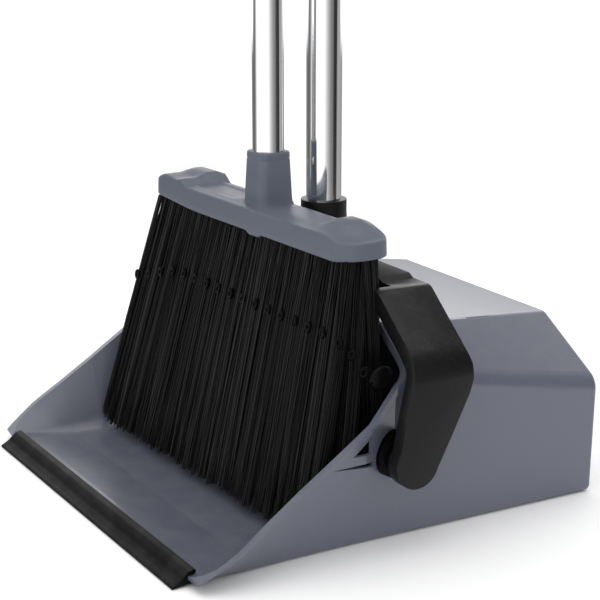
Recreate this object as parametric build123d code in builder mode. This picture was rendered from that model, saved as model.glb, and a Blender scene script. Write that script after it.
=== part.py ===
"""Upright dustpan and broom set: a hooded pan on a hinged yoke, with a broom clipped to its handle.

Millimetres, +Z up, +Y from the pan's lip to its back. The origin is on the floor,
under the middle of the pan.
"""

import os

from build123d import *

os.makedirs("parts", exist_ok=True)

# ---- driving dimensions -------------------------------------------------------------------
PAN_DEPTH = 333.4            # rubber tip to rear wall
REAR_Y = PAN_DEPTH / 2
TIP_Y = -PAN_DEPTH / 2       # front tip of the rubber lip
LIP_Y = TIP_Y + 15.4         # front corner of the side walls
WALL = 2.6                   # moulded wall thickness

PIVOT_Y = LIP_Y + 146.5      # yoke hinge
PIVOT_Z = 62.0
HOOD_FRONT_Y = LIP_Y + 160   # front edge of the hood
RIM_BEND = 156.0             # from the lip, where the rim turns up into the hood's edge
RIM_START_Z = 9.7            # height of the side wall's rim above the lip
RIM_SLOPE = 0.66             # rise of the rim towards the hinge

PIN_R = 5.0
RUNNING_GAP = 0.06           # radial gap of the pins in the pan's bosses
BOSS_R = 13.0
BOSS_FACE_X = 157.0
SPACER_X = 157.4             # the spacer runs from here to the yoke's arm
ARM_INNER_X = 170.5
ARM_OUTER_X = 180.5

PAN_TUBE_R = 12.7
PAN_TUBE_Y = LIP_Y + 183.4
BROOM_TUBE_R = 11.1
BROOM_Y = LIP_Y + 137.8
PAN_TUBE_WALL = 1.2
BROOM_TUBE_WALL = 0.8

YOKE_TOP_Z = 166.8
SOCKET_TOP_Z = 201.0
SOCKET_R = 16.6
SOCKET_SCREW_Z = SOCKET_TOP_Z - 14
PAN_FOOT_Z = YOKE_TOP_Z - 5      # lower end of the pan's tube, inside the socket
PAN_JOINT_Z = 560.0          # middle of the pan handle's tube joint
PAN_TUBE_TOP_Z = 900.0
BROOM_JOINT_Z = 470.0
BROOM_TUBE_TOP_Z = 990.0
PAN_GRIP_R = 15.2
BROOM_GRIP_R = 13.6
PAN_GRIP_Z = 800.0           # lower ends of the grips
BROOM_GRIP_Z = 890.0
CAP_HEIGHT = 36.0
CLIP_Z = 770.0
CLIP_HEIGHT = 26.0
CLIP_GAP = 0.3               # radial gap of the broom tube in its clip

BROOM_TURN = 2.5             # the broom stands turned this many degrees in the pan
BLOCK_BOTTOM_Z = 186.5
BLOCK_LENGTH = 265.0
BLOCK_DEPTH = 40.0
BLOCK_MIDDLE = (-1.5, -3.0)  # centre of the block's plan, from its tube
NECK_TOP_Z = 240.0
NECK_SCREW_Z = NECK_TOP_Z - 14
BROOM_FOOT_Z = NECK_TOP_Z - 34   # lower end of the broom's tube, inside the neck
TUFT_DEPTH = 9.0
TUFT_R = 3.0
TIP_Z = 8.0                  # bristle tips, above the pan's floor
HANG_HOLE_R = 5.0            # hanging holes in the end caps
SCREW_R = 2.0

broom_plane = Plane(origin=(0, BROOM_Y, 0), z_dir=(0, 0, 1)).rotated((0, 0, BROOM_TURN))


def save(node, label):
    """Name a finished piece and write it."""
    node.part.label = label
    export_step(node.part, f"parts/{label}.step")


# ---- pan shell ----------------------------------------------------------------------------
# Each station: distance from the lip, bottom z, bottom half-width, crease (x, z), roof edge (x, z),
# the radius inside between the floor and the side wall, and the crease's radius. Ahead of the hood
# the crease is only where the leaning side wall would end, above the rim.
STATIONS = [
    (-4, 4.6, 154.5, 172.0, 8.6, 120.0, 72.0, 1.5, 1.0),
    (8, 3.5, 153.2, 175.4, 20.6, 120.0, 80.0, 5.0, 2.0),
    (20, 2.4, 151.0, 178.2, 31.2, 120.0, 88.0, 9.0, 2.0),
    (43, 0.2, 148.6, 173.6, 49.3, 120.0, 104.0, 13.0, 3.0),
    (68, 0.0, 147.4, 171.0, 68.0, 120.0, 118.0, 16.0, 4.0),
    (97, 0.0, 147.0, 169.8, 88.5, 118.0, 130.0, 16.0, 5.0),
    (120, 0.0, 147.0, 168.6, 106.0, 117.5, 138.0, 16.0, 8.0),
    (134, 0.0, 147.4, 160.0, 112.5, 117.5, 140.5, 15.0, 12.0),
    (148, 0.0, 148.0, 151.5, 115.2, 117.0, 139.4, 14.0, 14.0),
    (318, 0.0, 149.5, 152.0, 84.0, 90.0, 120.0, 10.0, 14.0),
]
BOTTOM_ROUND = 5.0
ROOF_ROUND = 9.0
RIM_WIDTH = 4.6              # the rolled rim's band
RIM_STAND = 2.5              # how far the rim stands proud of the wall
REAR_ROUND = 3.5


def hood_sections(inset, ahead=0.0, back=0.0):
    """The pan's closed cross-sections, moved in by inset; a negative inset moves them out."""
    sections = []
    for y, low, half, crease_x, crease_z, roof_x, roof_z, floor_round, crease_round in STATIONS:
        start = LIP_Y + y - (ahead if y < 0 else 0) - (back if y > 300 else 0)
        with BuildSketch(Plane.XZ.offset(-start)) as section:
            with BuildLine():
                Polyline(
                    (-half + inset, low + max(inset, 0)),
                    (half - inset, low + max(inset, 0)),
                    (crease_x - inset, crease_z - inset * 0.4),
                    (roof_x - inset * 0.5, roof_z - inset),
                    (-roof_x + inset * 0.5, roof_z - inset),
                    (-crease_x + inset, crease_z - inset * 0.4),
                    close=True,
                )
            make_face()
            bottom_round = floor_round if inset > 0 else BOTTOM_ROUND
            fillet(section.vertices().group_by(Axis.Y)[0], bottom_round)
            crease_low = crease_z - abs(inset) - 1
            creases = section.vertices().filter_by_position(Axis.X, crease_x - 4, crease_x + 4)
            creases += section.vertices().filter_by_position(Axis.X, -crease_x - 4, -crease_x + 4)
            fillet(creases.filter_by_position(Axis.Y, crease_low, crease_z + 4), crease_round)
            fillet(section.vertices().group_by(Axis.Y)[-1].sort_by(Axis.X)[0], ROOF_ROUND)
            fillet(section.vertices().group_by(Axis.Y)[-1].sort_by(Axis.X)[-1], ROOF_ROUND)
        sections.append(section.sketch)
    return sections


def mouth_outline(grow=0.0):
    """Side view of the space above the rim, from the lip up to the hood's front edge."""
    bend_y, bend_z = LIP_Y + RIM_BEND, RIM_START_Z + RIM_BEND * RIM_SLOPE
    with BuildSketch(Plane.YZ) as outline:
        with BuildLine():
            Polyline(
                (LIP_Y - 30, RIM_START_Z - 30 * RIM_SLOPE),
                (bend_y, bend_z),
                (HOOD_FRONT_Y, 300),
                (LIP_Y - 30, 300),
                close=True,
            )
        make_face()
        fillet(outline.vertices().sort_by_distance((bend_y, bend_z))[0], 16)
        if grow:
            offset(amount=grow)
    return outline.sketch


with BuildPart() as cavity:
    loft(hood_sections(WALL, ahead=10, back=WALL), ruled=True)

with BuildPart() as mouth:
    extrude(mouth_outline(), amount=220, both=True)

with BuildPart() as rim:
    loft(hood_sections(-RIM_STAND), ruled=True)
    extrude(mouth_outline(grow=RIM_WIDTH), amount=220, both=True, mode=Mode.INTERSECT)

with BuildPart() as pan_shell:
    loft(hood_sections(0), ruled=True)
    rear_edges = pan_shell.faces().sort_by(Axis.Y)[-1].edges()
    fillet(rear_edges, REAR_ROUND)
    for side in (-1, 1):
        with BuildSketch(Plane.YZ.offset(side * 140)):
            with Locations((PIVOT_Y, PIVOT_Z)):
                Circle(BOSS_R + 2)
        with BuildSketch(Plane.YZ.offset(side * BOSS_FACE_X)):
            with Locations((PIVOT_Y, PIVOT_Z)):
                Circle(BOSS_R)
        loft()
    add(rim.part)
    add(cavity.part, mode=Mode.SUBTRACT)
    add(mouth.part, mode=Mode.SUBTRACT)
    # pin bores through the bosses
    with BuildSketch(Plane.YZ):
        with Locations((PIVOT_Y, PIVOT_Z)):
            Circle(PIN_R + RUNNING_GAP)
    extrude(amount=200, both=True, mode=Mode.SUBTRACT)
    # moulding windows in the flared wall just ahead of the bosses
    with BuildSketch(Plane.YZ):
        with BuildLine():
            Polyline(
                (LIP_Y + 108.8, 68.6),
                (LIP_Y + 122.8, 80.3),
                (LIP_Y + 124.3, 67.2),
                close=True,
            )
        make_face()
        with BuildLine():
            Polyline(
                (LIP_Y + 92.0, 62.6),
                (LIP_Y + 127.4, 60.8),
                (LIP_Y + 127.6, 57.2),
                close=True,
            )
        make_face()
    extrude(amount=200, both=True, mode=Mode.SUBTRACT)
save(pan_shell, "pan_shell")

# ---- rubber lip ---------------------------------------------------------------------------
LIP_HALF = 149.0
with BuildPart() as rubber_lip:
    with BuildSketch(Plane.YZ.offset(-LIP_HALF)) as lip_profile:
        with BuildLine():
            Polyline(
                (TIP_Y, 0.0),
                (TIP_Y + 0.4, 1.6),
                (LIP_Y - 9.5, 4.6),
                (LIP_Y - 4.0, 9.2),
                (LIP_Y + 0.8, 11.0),
                (LIP_Y + 1.8, 9.6),
                (LIP_Y + 1.2, 7.6),
                (LIP_Y - 4.2, 7.5),
                (LIP_Y - 4.2, 4.3),
                (LIP_Y + 6.0, 3.4),
                (LIP_Y + 6.4, 1.4),
                (LIP_Y - 4.0, 1.6),
                close=True,
            )
        make_face()
    extrude(amount=2 * LIP_HALF)
save(rubber_lip, "rubber_lip")

# ---- yoke ---------------------------------------------------------------------------------
OUTER_BEND_Z = 128.8         # where the arm would meet the slant, outside and inside
INNER_BEND_Z = 122.6
with BuildPart() as yoke:
    with BuildSketch(Plane.XZ.offset(-REAR_Y)) as bail:
        with BuildLine():
            outer = [
                (ARM_OUTER_X, 40), (ARM_OUTER_X, OUTER_BEND_Z), (133.3, YOKE_TOP_Z),
                (113, YOKE_TOP_Z), (108, YOKE_TOP_Z + 2.6),
            ]
            inner = [(126, YOKE_TOP_Z - 8.5), (ARM_INNER_X, INNER_BEND_Z), (ARM_INNER_X, 40)]
            Polyline(
                *outer,
                *[(-x, z) for x, z in outer[::-1]],
                *[(-x, z) for x, z in inner[::-1]],
                *inner,
                close=True,
            )
        make_face()
        for side in (-1, 1):
            for x, z, radius in ((ARM_OUTER_X, OUTER_BEND_Z, 28), (ARM_INNER_X, INNER_BEND_Z, 18),
                                 (133.3, YOKE_TOP_Z, 10)):
                fillet(bail.vertices().sort_by_distance((side * x, REAR_Y, z))[0], radius)
    extrude(amount=REAR_Y - PIVOT_Y + 60)
    # side view of the strap: a rounded foot at the hinge, widening up to the bend
    with BuildSketch(Plane.YZ) as strap_side:
        with BuildLine():
            Polyline(
                (PIVOT_Y - 15.5, PIVOT_Z - 4.0),
                (PIVOT_Y - 12.6, PIVOT_Z + 11.7),
                (PIVOT_Y - 8.8, PIVOT_Z + 32.0),
                (PIVOT_Y - 3.5, PIVOT_Z + 56.0),
                (PIVOT_Y - 2.0, PIVOT_Z + 70.0),
                (PIVOT_Y - 2.0, PIVOT_Z + 125.0),
                (PIVOT_Y + 39.5, PIVOT_Z + 125.0),
                (PIVOT_Y + 39.5, PIVOT_Z + 73.0),
                (PIVOT_Y + 42.3, PIVOT_Z + 62.0),
                (PIVOT_Y + 42.5, PIVOT_Z + 52.0),
                (PIVOT_Y + 39.8, PIVOT_Z + 43.0),
                (PIVOT_Y + 27.1, PIVOT_Z + 17.5),
                (PIVOT_Y + 13.8, PIVOT_Z - 8.0),
                close=True,
            )
        make_face()
        with Locations((PIVOT_Y, PIVOT_Z)):
            Circle(16.2)
    extrude(amount=200, both=True, mode=Mode.INTERSECT)
    # notch in the front of the cross-piece, where the broom stands
    with BuildSketch(Plane.XY.offset(140)):
        with Locations((0, PIVOT_Y)):
            Rectangle(248, 29)
    extrude(amount=60, mode=Mode.SUBTRACT)
    # handle socket
    with BuildSketch(Plane.XY.offset(YOKE_TOP_Z - 8.5)):
        with Locations((0, PAN_TUBE_Y)):
            Circle(SOCKET_R)
    extrude(amount=SOCKET_TOP_Z - YOKE_TOP_Z + 8.5)
    with BuildSketch(Plane.XY.offset(PAN_FOOT_Z)):
        with Locations((0, PAN_TUBE_Y)):
            Circle(PAN_TUBE_R)
    extrude(amount=60, mode=Mode.SUBTRACT)
    # blind holes for the hinge pins
    for side in (-1, 1):
        with BuildSketch(Plane.YZ.offset(side * ARM_INNER_X)):
            with Locations((PIVOT_Y, PIVOT_Z)):
                Circle(PIN_R)
        extrude(amount=side * 6.5, mode=Mode.SUBTRACT)
    # screw hole in the back of the socket
    with BuildSketch(Plane.XZ.offset(-PAN_TUBE_Y)):
        with Locations((0, SOCKET_SCREW_Z)):
            Circle(SCREW_R)
    extrude(amount=-20, mode=Mode.SUBTRACT)
save(yoke, "yoke")

# ---- hinge pins, spacer washers and retainers ----------------------------------------------------
for side, name in ((-1, "left"), (1, "right")):
    with BuildPart() as pivot_pin:
        with BuildSketch(Plane.YZ.offset(side * 142.6)):
            with Locations((PIVOT_Y, PIVOT_Z)):
                Circle(PIN_R)
        extrude(amount=side * (ARM_INNER_X + 6.5 - 142.6))
        chamfer(pivot_pin.edges().filter_by(GeomType.CIRCLE), 0.6)
    save(pivot_pin, f"pivot_pin_{name}")

    with BuildPart() as pivot_washer:
        with BuildSketch(Plane.YZ.offset(side * SPACER_X)):
            with Locations((PIVOT_Y, PIVOT_Z)):
                Circle(12.5)
                Circle(PIN_R, mode=Mode.SUBTRACT)
        extrude(amount=side * (ARM_INNER_X - SPACER_X))
    save(pivot_washer, f"pivot_washer_{name}")

    with BuildPart() as pivot_retainer:
        with BuildSketch(Plane.YZ.offset(side * 144.2)):
            with Locations((PIVOT_Y, PIVOT_Z)):
                Circle(9)
                Circle(PIN_R, mode=Mode.SUBTRACT)
        extrude(amount=side * 1.4)
    save(pivot_retainer, f"pivot_retainer_{name}")


def tube(radius, wall, y, bottom, top, side_hole_z=None):
    """A steel tube standing at y, with an optional screw hole in its back."""
    with BuildPart() as pipe:
        with BuildSketch(Plane.XY.offset(bottom)):
            with Locations((0, y)):
                Circle(radius)
                Circle(radius - wall, mode=Mode.SUBTRACT)
        extrude(amount=top - bottom)
        if side_hole_z:
            with BuildSketch(Plane.XZ.offset(-y)):
                with Locations((0, side_hole_z)):
                    Circle(SCREW_R)
            extrude(amount=-radius - 2, mode=Mode.SUBTRACT)
    return pipe


def sleeve(radius, inner_radius, y, bottom, top, rings=0):
    """A turned plastic sleeve around a tube, with optional grooves round it."""
    with BuildPart() as collar:
        with BuildSketch(Plane.XY.offset(bottom)):
            with Locations((0, y)):
                Circle(radius)
                Circle(inner_radius, mode=Mode.SUBTRACT)
        extrude(amount=top - bottom)
        chamfer(collar.edges().filter_by(GeomType.CIRCLE).filter_by(lambda e: e.radius > radius - 0.1), 0.8)
        for n in range(rings):
            z = bottom + (top - bottom) * (n + 1) / (rings + 1)
            with BuildSketch(Plane.XY.offset(z - 1)):
                with Locations((0, y)):
                    Circle(radius + 1)
                    Circle(radius - 0.8, mode=Mode.SUBTRACT)
            extrude(amount=2, mode=Mode.SUBTRACT)
    return collar


def end_cap(radius, spigot_radius, y, bottom):
    """A domed end cap with a flat tab and a hanging hole; its spigot goes into the tube."""
    top = bottom + CAP_HEIGHT
    with BuildPart() as cap:
        with BuildSketch(Plane.XY.offset(bottom - 18)):
            with Locations((0, y)):
                Circle(spigot_radius)
        extrude(amount=18)
        with BuildSketch(Plane.XY.offset(bottom)):
            with Locations((0, y)):
                Circle(radius)
        extrude(amount=CAP_HEIGHT)
        fillet(cap.edges().group_by(Axis.Z)[-1], 9)
        for side in (-1, 1):
            with BuildSketch(Plane.XZ.offset(-y - 20)):
                with Locations((side * (6 + radius / 2), bottom + 8 + CAP_HEIGHT / 2)):
                    Rectangle(radius, CAP_HEIGHT)
            extrude(amount=40, mode=Mode.SUBTRACT)
        with BuildSketch(Plane.YZ):
            with Locations((y, top - 17)):
                Circle(HANG_HOLE_R)
        extrude(amount=40, both=True, mode=Mode.SUBTRACT)
    return cap


def screw(y, z, head_y, shank):
    """A pan-head screw along Y; its head sits at head_y, behind the piece it holds."""
    with BuildPart() as fastener:
        with BuildSketch(Plane.XZ.offset(-head_y)):
            with Locations((0, z)):
                Circle(3.6)
        extrude(amount=-2.0)
        fillet(fastener.edges().group_by(Axis.Y)[-1], 1.2)
        with BuildSketch(Plane.XZ.offset(-head_y)):
            with Locations((0, z)):
                Circle(SCREW_R)
        extrude(amount=shank)
    return fastener


save(screw(PAN_TUBE_Y, SOCKET_SCREW_Z, PAN_TUBE_Y + SOCKET_R, 5.0), "socket_screw")

# ---- pan handle ---------------------------------------------------------------------------
save(tube(PAN_TUBE_R, PAN_TUBE_WALL, PAN_TUBE_Y, PAN_FOOT_Z, PAN_JOINT_Z, SOCKET_SCREW_Z), "pan_tube_lower")
save(sleeve(14.6, PAN_TUBE_R, PAN_TUBE_Y, PAN_JOINT_Z - 22, PAN_JOINT_Z + 22, 2), "pan_tube_joint")
save(tube(PAN_TUBE_R, PAN_TUBE_WALL, PAN_TUBE_Y, PAN_JOINT_Z, PAN_TUBE_TOP_Z, CLIP_Z), "pan_tube_upper")
save(sleeve(PAN_GRIP_R, PAN_TUBE_R, PAN_TUBE_Y, PAN_GRIP_Z, PAN_TUBE_TOP_Z, 9), "pan_handle_grip")
pan_cap = end_cap(PAN_GRIP_R, PAN_TUBE_R - PAN_TUBE_WALL, PAN_TUBE_Y, PAN_TUBE_TOP_Z)
save(pan_cap, "pan_handle_cap")

# ---- broom clip ---------------------------------------------------------------------------
with BuildPart() as broom_clip:
    with BuildSketch(Plane.XY.offset(CLIP_Z - CLIP_HEIGHT / 2)) as clip_plan:
        with Locations((0, PAN_TUBE_Y)):
            Circle(PAN_TUBE_R + 3.6)
        with Locations((0, BROOM_Y)):
            Circle(BROOM_TUBE_R + CLIP_GAP + 3.0)
        with Locations((0, (PAN_TUBE_Y + BROOM_Y) / 2)):
            Rectangle(12, 24)
        with Locations((0, PAN_TUBE_Y)):
            Circle(PAN_TUBE_R, mode=Mode.SUBTRACT)
        with Locations((0, BROOM_Y)):
            Circle(BROOM_TUBE_R + CLIP_GAP, mode=Mode.SUBTRACT)
        with Locations((0, BROOM_Y - 16)):
            Rectangle(18, 20, mode=Mode.SUBTRACT)
    extrude(amount=CLIP_HEIGHT)
    with BuildSketch(Plane.XZ.offset(-PAN_TUBE_Y)):
        with Locations((0, CLIP_Z)):
            Circle(SCREW_R)
    extrude(amount=-30, mode=Mode.SUBTRACT)
save(broom_clip, "broom_clip")
save(screw(PAN_TUBE_Y, CLIP_Z, PAN_TUBE_Y + PAN_TUBE_R + 3.6, 6.2), "clip_screw")

# ---- broom block --------------------------------------------------------------------------
TUFT_COLUMNS = 15
TUFT_ROWS = 3
tuft_grid = GridLocations(17.2, 11.5, TUFT_COLUMNS, TUFT_ROWS)
with BuildPart() as broom_block:
    with BuildSketch(broom_plane.offset(BLOCK_BOTTOM_Z)):
        with Locations(BLOCK_MIDDLE):
            RectangleRounded(BLOCK_LENGTH, BLOCK_DEPTH, 16)
    extrude(amount=30)
    # top profile: raised humps outside, a lower shelf towards the neck
    block_side = Plane(origin=broom_plane.origin, x_dir=broom_plane.x_dir, z_dir=-broom_plane.y_dir)
    with BuildSketch(block_side):
        with BuildLine():
            top_line = [(60, 203), (78, 203.5), (88, 209), (108, 209.5), (120, 206), (135, 200)]
            Polyline(
                (135, BLOCK_BOTTOM_Z - 5),
                *top_line[::-1],
                *[(-x, z) for x, z in top_line],
                (-135, BLOCK_BOTTOM_Z - 5),
                close=True,
            )
        make_face()
    extrude(amount=40, both=True, mode=Mode.INTERSECT)
    fillet(broom_block.edges().group_by(Axis.Z)[0], 1.5)
    # neck
    with BuildSketch(broom_plane.offset(BLOCK_BOTTOM_Z + 8)):
        RectangleRounded(29, 29, 7.6)
    with BuildSketch(broom_plane.offset(NECK_TOP_Z)):
        RectangleRounded(25.2, 25.2, 7)
    loft()
    with BuildSketch(broom_plane.offset(BROOM_FOOT_Z)):
        Circle(BROOM_TUBE_R)
    extrude(amount=60, mode=Mode.SUBTRACT)
    with BuildSketch(Plane.XZ.offset(-BROOM_Y)):
        with Locations((0, NECK_SCREW_Z)):
            Circle(SCREW_R)
    extrude(amount=-25, mode=Mode.SUBTRACT)
    with BuildSketch(broom_plane.offset(BLOCK_BOTTOM_Z)):
        with tuft_grid:
            Circle(TUFT_R)
    extrude(amount=TUFT_DEPTH, mode=Mode.SUBTRACT)
save(broom_block, "broom_block")
save(screw(BROOM_Y, NECK_SCREW_Z, BROOM_Y + 13.6, 3.2), "block_screw")

# ---- bristles -----------------------------------------------------------------------------
with BuildPart() as tuft_roots:
    with BuildSketch(broom_plane.offset(BLOCK_BOTTOM_Z)):
        with tuft_grid:
            Circle(TUFT_R)
    extrude(amount=TUFT_DEPTH - 2)
save(tuft_roots, "tuft_roots")

with BuildPart() as tuft_anchors:
    with BuildSketch(broom_plane.offset(BLOCK_BOTTOM_Z + TUFT_DEPTH - 2)):
        with tuft_grid:
            Rectangle(5.0, 1.6)
    extrude(amount=1.4)
save(tuft_anchors, "tuft_anchors")

# Rows of tufts, front to back: centre and thickness at the block, then at the tips.
ROWS = {
    "bristles_front": (-13.0, 9.0, -58.0, 10.0),
    "bristles_middle": (-2.5, 8.0, -36.0, 10.0),
    "bristles_rear": (9.5, 8.0, 6.0, 10.0),
}
ROW_ROUND = 3.8
ROW_HALF_TOP = {"bristles_front": 130.0, "bristles_middle": 129.0, "bristles_rear": 118.0}
ROW_HALF_TIP = {"bristles_front": 138.0, "bristles_middle": 138.0, "bristles_rear": 126.0}
for name, (top_v, top_depth, tip_v, tip_depth) in ROWS.items():
    with BuildPart() as row:
        with BuildSketch(broom_plane.offset(BLOCK_BOTTOM_Z)):
            with Locations((0, top_v)):
                RectangleRounded(2 * ROW_HALF_TOP[name], top_depth, ROW_ROUND)
        with BuildSketch(broom_plane.offset(TIP_Z)):
            with Locations((0, tip_v)):
                RectangleRounded(2 * ROW_HALF_TIP[name], tip_depth, ROW_ROUND)
        loft()
    save(row, name)

# Binding loops across the front tufts, along an arch, and the pad where the thread ends.
LOOP_COUNT = 18
LOOP_Z = 140.0
FRONT_LEAN = (ROWS["bristles_front"][0] - ROWS["bristles_front"][2]) / (BLOCK_BOTTOM_Z - TIP_Z)
with BuildPart() as bristle_loops:
    for n in range(LOOP_COUNT):
        u = -122 + n * 244 / (LOOP_COUNT - 1)
        z = LOOP_Z - 16 * (abs(u) / 130) ** 4
        v = -18.6 - (FRONT_LEAN + 0.014) * (BLOCK_BOTTOM_Z - z) - 2.0
        with Locations(broom_plane.offset(z)):
            with Locations((u, v)):
                Sphere(2.0)
save(bristle_loops, "bristle_loops")

with BuildPart() as loop_pad:
    with BuildSketch(Plane.YZ.offset(134.5)):
        with Locations((BROOM_Y + 2, 112)):
            Ellipse(9, 7)
    extrude(amount=3)
save(loop_pad, "loop_pad")

# ---- broom handle -------------------------------------------------------------------------
lower = tube(BROOM_TUBE_R, BROOM_TUBE_WALL, BROOM_Y, BROOM_FOOT_Z, BROOM_JOINT_Z, NECK_SCREW_Z)
save(lower, "broom_tube_lower")
with BuildPart() as broom_tube_plug:
    with BuildSketch(Plane.XY.offset(BROOM_FOOT_Z)):
        with Locations((0, BROOM_Y)):
            Circle(BROOM_TUBE_R - BROOM_TUBE_WALL)
            Circle(6, mode=Mode.SUBTRACT)
    extrude(amount=12)
save(broom_tube_plug, "broom_tube_plug")
save(sleeve(13.0, BROOM_TUBE_R, BROOM_Y, BROOM_JOINT_Z - 20, BROOM_JOINT_Z + 20, 2), "broom_tube_joint")
save(tube(BROOM_TUBE_R, BROOM_TUBE_WALL, BROOM_Y, BROOM_JOINT_Z, BROOM_TUBE_TOP_Z), "broom_tube_upper")
save(sleeve(BROOM_GRIP_R, BROOM_TUBE_R, BROOM_Y, BROOM_GRIP_Z, BROOM_TUBE_TOP_Z, 9), "broom_handle_grip")
broom_cap = end_cap(BROOM_GRIP_R, BROOM_TUBE_R - BROOM_TUBE_WALL, BROOM_Y, BROOM_TUBE_TOP_Z)
save(broom_cap, "broom_handle_cap")
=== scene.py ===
"""Looks of an upright dustpan and broom set, built around its fixed frame.

Metres, +Z up, +Y from the pan's lip to its back. Sizes written in millimetres are marked with MM.
"""
import math
from functools import partial

import bmesh
import bpy
from mathutils import Matrix, Vector


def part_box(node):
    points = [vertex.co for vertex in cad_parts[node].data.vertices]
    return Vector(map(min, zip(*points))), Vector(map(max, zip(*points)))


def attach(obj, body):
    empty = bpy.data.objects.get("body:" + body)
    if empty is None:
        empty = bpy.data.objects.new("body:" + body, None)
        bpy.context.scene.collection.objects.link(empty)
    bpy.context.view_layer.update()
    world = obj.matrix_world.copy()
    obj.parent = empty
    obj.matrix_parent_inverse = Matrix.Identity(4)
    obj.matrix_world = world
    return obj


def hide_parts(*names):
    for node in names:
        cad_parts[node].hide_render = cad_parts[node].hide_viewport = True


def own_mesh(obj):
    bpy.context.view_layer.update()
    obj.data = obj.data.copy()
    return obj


bl_info = {
    "name": "Dustpan and broom set",
    "version": (1, 0, 0),
    "blender": (4, 5, 0),
    "location": "View3D > Sidebar > Dustpan",
    "description": "Builds the looks of an upright dustpan and broom around its fixed frame",
    "category": "Object",
}

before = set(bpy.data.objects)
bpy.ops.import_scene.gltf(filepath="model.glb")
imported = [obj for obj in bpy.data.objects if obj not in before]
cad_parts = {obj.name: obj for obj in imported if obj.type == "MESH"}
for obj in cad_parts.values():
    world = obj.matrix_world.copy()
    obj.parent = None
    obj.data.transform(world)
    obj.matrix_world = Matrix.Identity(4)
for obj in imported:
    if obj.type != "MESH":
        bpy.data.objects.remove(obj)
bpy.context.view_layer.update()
MM = 0.001


def centre_of(node):
    """The middle of a frame node's box."""
    low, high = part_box(node)
    return (low + high) / 2


# ---- places, from the frame ----------------------------------------------------------------
LIP_LOW, LIP_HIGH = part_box("rubber_lip")
PAN_TUBE = centre_of("pan_tube_upper")
BROOM_TUBE = centre_of("broom_tube_upper")
PAN_TUBE_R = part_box("pan_tube_upper")[1].x
BROOM_TUBE_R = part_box("broom_tube_upper")[1].x
BROOM_TURN = math.radians(2.5)       # the broom stands turned a little in the pan


# ---- settings ------------------------------------------------------------------------------
def colour_setting(name, text, colour):
    """A colour a user may change."""
    return bpy.props.FloatVectorProperty(
        name=name, description=text, default=colour, size=3, min=0, max=1, subtype="COLOR")


def length_setting(name, text, metres):
    """A length a user may change."""
    return bpy.props.FloatProperty(
        name=name, description=text, default=metres, unit="LENGTH", precision=4)


class DustpanFinishes(bpy.types.PropertyGroup):
    """Colours of the materials."""
    pan: colour_setting("Pan", "Moulded plastic of the pan", (0.101, 0.108, 0.146))
    block: colour_setting(
        "Broom block", "Moulded plastic of the broom's block", (0.094, 0.105, 0.138))
    yoke: colour_setting("Yoke", "Black plastic of the yoke and clip", (0.0074, 0.0074, 0.0078))
    lip: colour_setting("Lip", "Black rubber of the pan's lip", (0.0020, 0.0020, 0.0023))
    grip: colour_setting("Grips", "Soft plastic of the handle grips", (0.030, 0.031, 0.034))
    bristle: colour_setting("Bristles", "Plastic of the bristles", (0.0062, 0.0062, 0.0064))
    steel: colour_setting("Tubes", "Polished steel of the tubes", (0.86, 0.86, 0.87))
    floor: colour_setting("Floor", "The plain floor", (0.95, 0.95, 0.95))


class DustpanBristles(bpy.types.PropertyGroup):
    """Sizes and counts of the bristles."""
    strands: bpy.props.IntProperty(
        name="Strands", description="Bristles in one tuft", default=66, min=4, max=120)
    radius: length_setting("Strand radius", "Radius of one bristle at its root", 0.40 * MM)
    bow: length_setting("Bow", "How far a bristle strays from straight", 1.6 * MM)
    ragged: length_setting("Ragged ends", "Spread of the bristles' lengths", 5.0 * MM)
    seed: bpy.props.IntProperty(
        name="Seed", description="Changes how the bristles lie", default=4, min=0)


class DustpanShapes(bpy.types.PropertyGroup):
    """Sizes of the shapes' finishing."""
    yoke_edge: length_setting("Yoke edge", "Rounding of the yoke's edges", 1.8 * MM)
    clip_edge: length_setting("Clip edge", "Rounding of the clip's edges", 0.7 * MM)
    block_edge: length_setting("Block edge", "Rounding of the block's upper edge", 1.5 * MM)
    grip_rings: bpy.props.IntProperty(
        name="Grip rings", description="Raised rings round each grip", default=14, min=2, max=40)
    loop_radius: length_setting("Loop radius", "Radius of a binding loop", 2.0 * MM)


class DustpanStage(bpy.types.PropertyGroup):
    """The camera and the lights."""
    azimuth: bpy.props.FloatProperty(
        name="Azimuth", description="Camera's direction round the object", default=math.radians(59.83),
        subtype="ANGLE")
    elevation: bpy.props.FloatProperty(
        name="Elevation", description="Camera's angle above the floor", default=math.radians(15.26),
        subtype="ANGLE")
    place: bpy.props.FloatVectorProperty(
        name="Camera", description="Camera's place", default=(1.0301, -0.5865, 0.4527), size=3,
        subtype="TRANSLATION", unit="LENGTH")
    lens: bpy.props.FloatProperty(
        name="Lens", description="Focal length in millimetres", default=101.96, min=10)
    sky: bpy.props.FloatProperty(
        name="Sky", description="Strength of the soft light from all round", default=1.06, min=0)
    key: bpy.props.FloatProperty(
        name="Key", description="Power of the large light above", default=10.0, min=0, unit="POWER")


# ---- nodes ---------------------------------------------------------------------------------
def add(tree, kind, inputs=None, **settings):
    """A new node. Each input is a value or the socket that feeds it."""
    node = tree.nodes.new(kind)
    for key, value in settings.items():
        setattr(node, key, value)
    for key, value in (inputs or {}).items():
        if isinstance(value, bpy.types.NodeSocket):
            tree.links.new(value, node.inputs[key])
        else:
            node.inputs[key].default_value = value
    return node


def calc(tree, operation, *values):
    """The result of a Math node."""
    return add(tree, "ShaderNodeMath", dict(enumerate(values)), operation=operation).outputs[0]


def vector(tree, x=0.0, y=0.0, z=0.0):
    """A vector from three numbers or sockets."""
    return add(tree, "ShaderNodeCombineXYZ", {0: x, 1: y, 2: z}).outputs[0]


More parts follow.
